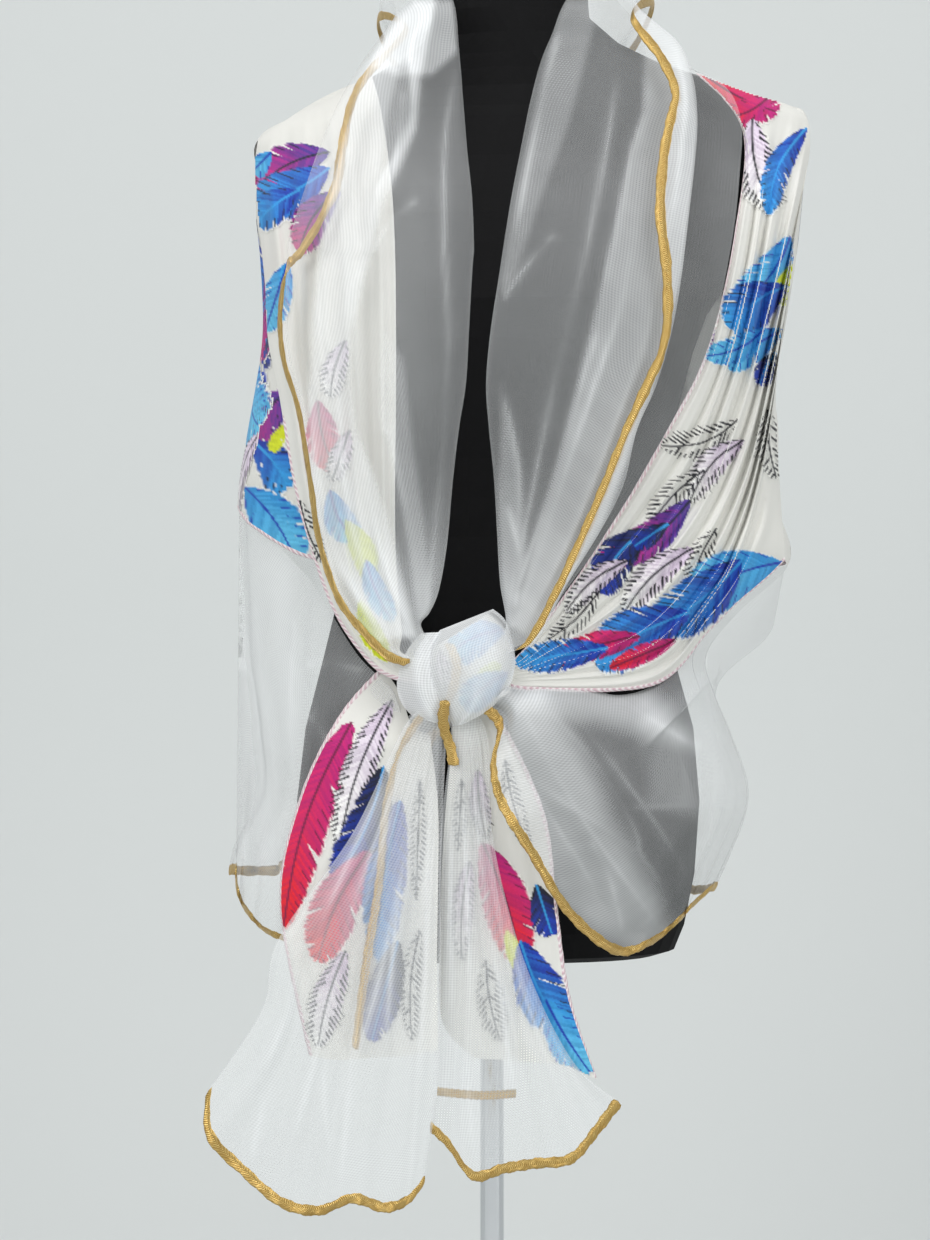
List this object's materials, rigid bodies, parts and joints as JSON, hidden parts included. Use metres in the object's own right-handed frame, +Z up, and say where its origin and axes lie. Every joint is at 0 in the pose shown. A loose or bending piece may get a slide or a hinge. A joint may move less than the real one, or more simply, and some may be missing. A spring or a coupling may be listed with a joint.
{
  "type": "sheer scarf on a dress form",
  "caption": "Wide sheer evening scarf with gold bound organza borders, draped round the neck and shoulders of a black dress form on a pole and tied in one knot at the waist.",
  "frame": {"origin": "centre of the base's underside, on the floor", "axes": "+Z up along the pole, -Y towards the viewer in front of the form, +X to that viewer's right"},
  "size_m": [0.4689, 0.36, 1.42],
  "materials": {
    "chiffon": "fine matt printed chiffon, slightly see through",
    "organza": "crisp white organza, see through",
    "gold_ribbon": "woven metallic ribbon",
    "form": "matt black skin",
    "pole": "polished chrome tube",
    "base": "brushed steel plate"
  },
  "bodies": {
    "root": {"back_chiffon": "chiffon", "right_front_chiffon": "chiffon", "left_front_chiffon": "chiffon", "knot_core": "chiffon", "left_tail_chiffon": "chiffon", "right_tail_chiffon": "chiffon", "right_collar": "organza", "neck_collar": "organza", "left_collar": "organza", "right_hip_organza": "organza", "left_hip_organza": "organza", "back_hem_organza": "organza", "knot_band": "organza", "knot_lobe": "organza", "left_tail_organza": "organza", "left_tail_inner_organza": "organza", "right_tail_organza": "organza", "right_tail_inner_organza": "organza", "right_collar_gold": "gold_ribbon", "neck_collar_gold": "gold_ribbon", "left_collar_gold": "gold_ribbon", "right_hip_gold": "gold_ribbon", "left_hip_gold": "gold_ribbon", "back_hem_gold": "gold_ribbon", "left_tail_gold": "gold_ribbon", "right_tail_gold": "gold_ribbon", "knot_gold": "gold_ribbon", "dress_form": "form", "pole": "pole", "base": "base"}
  },
  "joints": []
}
